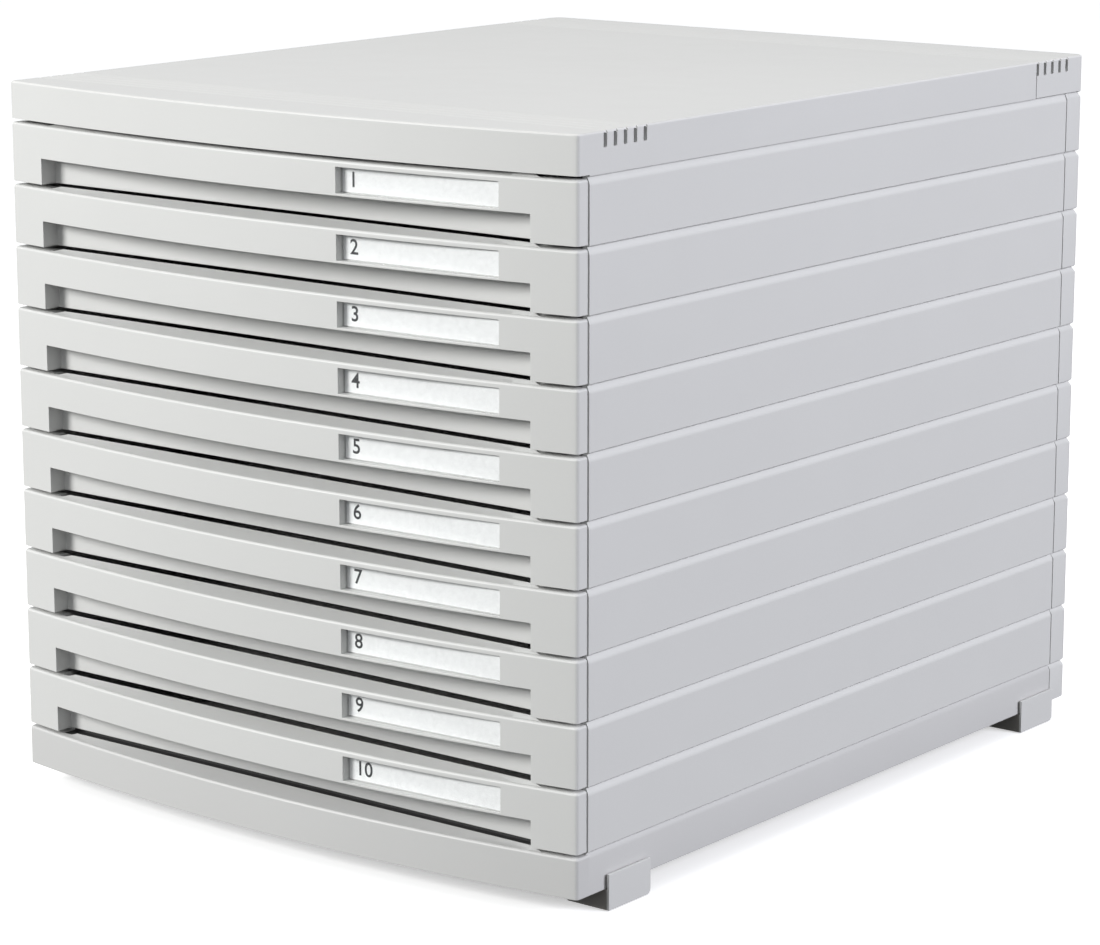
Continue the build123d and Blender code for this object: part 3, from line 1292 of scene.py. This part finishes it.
@dataclass
class Plinth:
    """Base with its bowed lip under the last drawer."""

    layout: Layout
    plate: float = 2.6
    back: float = 2.6
    clearance: float = 0.2
    rim_radius: float = 1.0
    lower_radius: float = 0.4

    def groove(self) -> Workpiece:
        """Make the tool that slopes the right upper edge in, as on the walls."""
        plan = self.layout
        knee, over = plan.stack_z - plan.groove_height, 1.0
        inner = plan.half_width - plan.groove_depth * (1 + over / plan.groove_height)
        groove = Workpiece.block(
            "groove",
            (inner, plan.wall_front_y - 0.2, knee),
            (plan.half_width + 2, plan.wall_rear_y + 1, plan.stack_z + over),
        )
        groove.edges(lambda a, b: max(a.x, b.x) < plan.half_width and max(a.z, b.z) < knee + 0.1)
        return groove.slide((plan.half_width - inner, 0, 0))

    def build(self) -> None:
        """Model the base."""
        plan = self.layout
        lip_top, half, low = plan.stack_z - plan.half_gap, plan.half_width, plan.base_z
        lip = plan.bowed_slab("plinth", 0.0, plan.wall_front_y + 1, low, lip_top)
        plan.round_front(lip, lip_top, self.rim_radius)
        lip.edges(lambda a, b: max(a.z, b.z) < low + 0.01 and min(a.y, b.y) < plan.wall_front_y)
        lip.round(self.lower_radius, 2)
        skirt = Workpiece.block(
            "skirt", (-half, plan.wall_front_y, low), (half, plan.wall_rear_y, plan.stack_z)
        )
        skirt.edges(lambda a, b: max(a.z, b.z) < low + 0.01 and abs(a.y - b.y) > 5)
        skirt.round(self.lower_radius, 2)
        skirt.carve(*self.groove().pair())
        inner, deck_low = plan.inner_half, plan.stack_z - self.plate
        room = plan.bowed_slab("room", plan.wall, plan.wall_rear_y + 1, low - 1, deck_low)
        laps = Workpiece.block(
            "lap",
            (inner - 1, plan.wall_rear_y - plan.lap_length, low - 1),
            (half - plan.lap_skin, plan.wall_rear_y + 1, plan.stack_z + 1),
        ).mirror_on()
        deck_half = inner - self.clearance
        deck = Workpiece.block(
            "deck",
            (-deck_half, plan.wall_rear_y - plan.lap_length - 1, deck_low),
            (deck_half, plan.rear_y - self.back - self.clearance, plan.stack_z),
        )
        lip.weld(skirt, plan.rise(lip_top)).carve(room, laps).weld(deck)
        lip.polish(plan.sharp_angle).dress(BASE_PLASTIC, "housing", "base")


@dataclass
class Feet:
    """Four feet with an outer cheek, and the rubber pads in them."""

    layout: Layout
    length: float = 25.0
    front_foot_y: float = -148.3
    inset: float = 17.0
    proud: float = 1.8
    cheek: float = 5.8
    slit_top: float = 0.5
    slit_bottom: float = 0.9
    wall: float = 1.5
    corner_radius: float = 2.0
    reach: float = 0.3
    pad_clearance: float = 0.2
    tread_count: int = 4
    tread_width: float = 1.4
    tread_depth: float = 0.8
    soft_edge: float = 0.25
    rubber_edge: float = 0.3

    def foot(self) -> Workpiece:
        """Shape the front right foot.

        Returns:
            The foot in its place.
        """
        plan = self.layout
        outer, inner = plan.half_width + self.proud, plan.half_width - self.inset
        low_y, high_y, top = self.front_foot_y, self.front_foot_y + self.length, plan.base_z
        foot = Workpiece.block("foot_form", (inner, low_y, self.reach), (outer, high_y, top))
        slit = plan.half_width + self.slit_bottom
        foot.cut((slit, 0, 0), (1, 0, 0))
        foot.faces(lambda middle, normal: normal.z > 0.9 and middle.x > slit).extrude((0, 0, self.cheek))
        foot.edges(
            lambda a, b: min(a.z, b.z) > top + self.cheek - 0.1 and max(a.x, b.x) < slit + 0.1
        )
        foot.slide((self.slit_top - self.slit_bottom, 0, 0))
        foot.edges(lambda a, b: max(a.z, b.z) < self.reach + 0.1 and min(a.y, b.y) > high_y - 0.1)
        foot.round(self.corner_radius, 5)
        pocket = Workpiece.block(
            "pocket",
            (inner + self.wall, low_y + self.wall, -1),
            (outer - self.wall, high_y - self.wall, top - self.wall),
        )
        return foot.carve(pocket).soften(self.soft_edge)

    def pad(self) -> Workpiece:
        """Shape the rubber pad of the front right foot, with treads below.

        Returns:
            The pad in its place.
        """
        plan = self.layout
        edge = self.wall + self.pad_clearance
        low = (plan.half_width - self.inset + edge, self.front_foot_y + edge, 0)
        high = (
            plan.half_width + self.proud - edge,
            self.front_foot_y + self.length - edge,
            plan.base_z - edge,
        )
        pad = Workpiece.block("foot_pad_set", low, high)
        gap = (high[1] - low[1]) / (self.tread_count + 1)
        start = low[1] + gap - self.tread_width / 2
        tread = Workpiece.block(
            "tread", (low[0] - 1, start, -1), (high[0] + 1, start + self.tread_width, self.tread_depth)
        )
        return pad.carve(tread.row(self.tread_count, (0, gap, 0))).soften(self.rubber_edge)

    def build(self) -> None:
        """Set the four feet and their pads."""
        back = (0, self.layout.wall_rear_y - self.length - self.front_foot_y, 0)
        form = self.foot()
        for end, move in (("front", (0, 0, 0)), ("rear", back)):
            for side in ("right", "left"):
                name = f"{end}_{side}"
                foot = form.twin(f"foot_shell_{name}", move, mirrored=side == "left").polish()
                foot.dress(FOOT_PLASTIC, "housing", f"foot_{name}")
        bpy.data.objects.remove(form.obj)
        pads = self.pad()
        pads.join(pads.twin("rear_pad", back)).mirror_on()
        pads.polish().dress(PAD_RUBBER, "housing", "foot_pads")


@dataclass(frozen=True)
class SoftBox:
    """One square soft light."""

    name: str
    place: tuple
    aim: tuple
    size: float
    power: float
    colour: tuple = (1.0, 1.0, 1.0)

    def hang(self) -> None:
        """Hang the light and turn it to its aim."""
        data = bpy.data.lights.new(self.name, "AREA")
        data.size = self.size
        data.energy = self.power
        data.color = self.colour
        lamp = bpy.data.objects.new(self.name, data)
        bpy.context.scene.collection.objects.link(lamp)
        lamp.location = self.place
        lamp.rotation_euler = (Vector(self.place) - Vector(self.aim)).to_track_quat("Z", "Y").to_euler()


@dataclass
class Studio:
    """Pale floor, soft lights and the camera of the photograph."""

    image_width: float = 1100.0
    focal_pixels: float = 3632.8
    camera_place: tuple = (0.8797, -1.1300, 0.4287)
    turn: float = 38.020  # degrees that the camera looks to the left of +Y
    dip: float = 12.321  # degrees that it looks down
    floor_reach: float = 9.0
    ring: float = 0.7  # light of the walls all round, up to 35 degrees
    ceiling: float = 0.45
    ground: float = 0.05
    horizon: float = 0.04  # half the height of its soft border
    ring_top: tuple = (0.45, 0.7)  # where the ring fades into the ceiling
    air_colour: tuple = (0.97, 1.0, 1.02, 1.0)
    soft_boxes: tuple = (
        SoftBox("key_box", (-0.94, -1.68, 0.89), (0.0, -0.17, 0.16), 0.61, 35.5, (1.0, 1.0, 0.985)),
        SoftBox("top_box", (-0.1, 0.0, 1.60), (0.0, 0.0, 0.28), 0.9, 3.1, (1.0, 0.90, 0.76)),
        SoftBox("side_box", (2.04, 0.50, 0.95), (0.14, 0.0, 0.15), 0.9, 31.0, (1.0, 1.0, 1.09)),
    )

    def camera(self) -> bpy.types.Object:
        """Put the camera where the photograph was taken from.

        Returns:
            The camera, set as the scene's own.
        """
        data = bpy.data.cameras.new("photo_view")
        data.sensor_width = 36.0
        data.lens = self.focal_pixels * data.sensor_width / self.image_width
        data.clip_start, data.clip_end = 0.05, 60.0
        camera = bpy.data.objects.new("photo_view", data)
        bpy.context.scene.collection.objects.link(camera)
        camera.location = self.camera_place
        camera.rotation_euler = (math.radians(90 - self.dip), 0.0, math.radians(self.turn))
        bpy.context.scene.camera = camera
        return camera

    def floor(self) -> bpy.types.Object:
        """Lay the floor; it throws no light back up, so that the gaps stay dark.

        Returns:
            The floor.
        """
        bpy.ops.object.select_all(action="DESELECT")
        bpy.ops.mesh.primitive_plane_add(size=2 * self.floor_reach)
        floor = bpy.context.object
        floor.name = "studio_floor"
        floor.data.materials.append(PaleFloor("studio_floor_board", Slot.HOUSING).material())
        floor.visible_diffuse = False
        floor.visible_glossy = False
        return floor

    def room(self) -> None:
        """Light the room evenly from its walls: bright ring, dim ceiling and ground."""
        world = bpy.data.worlds.new("studio_air")
        bpy.context.scene.world = world
        world.use_nodes = True
        sheet = NodeSheet(world.node_tree)
        way = sheet.add("ShaderNodeTexCoord").outputs["Generated"]
        parts = sheet.add("ShaderNodeSeparateXYZ", {"Vector": way}).outputs
        borders = (
            (-self.horizon, self.horizon, self.ground, self.ring),
            (*self.ring_top, 1.0, self.ceiling / self.ring),
        )
        shares = []
        for border in borders:
            values = dict(zip(("From Min", "From Max", "To Min", "To Max"), border))
            share = sheet.add("ShaderNodeMapRange", {"Value": parts["Z"], **values})
            shares.append(share.outputs["Result"])
        power = sheet.math("MULTIPLY", *shares)
        air = sheet.add("ShaderNodeBackground", {"Color": self.air_colour, "Strength": power})
        sheet.add("ShaderNodeOutputWorld", {"Surface": air.outputs[0]})

    def build(self) -> None:
        """Set up the whole studio."""
        self.camera()
        self.floor()
        self.room()
        for box in self.soft_boxes:
            box.hang()
        view = bpy.context.scene.view_settings
        view.view_transform = "Standard"
        view.look = "None"


def main() -> None:
    """Build the studio and the box, piece by piece."""
    logging.basicConfig(level=logging.INFO, format="%(name)s: %(message)s")
    Studio().build()
    layout = Layout()
    label = LabelHolder(layout)
    DrawerStack(layout).build(label)
    label.build()
    TopCover(layout).build()
    SideWalls(layout).build()
    RearPanel(layout).build()
    Plinth(layout).build()
    Feet(layout).build()


if __name__ == "__main__":
    main()
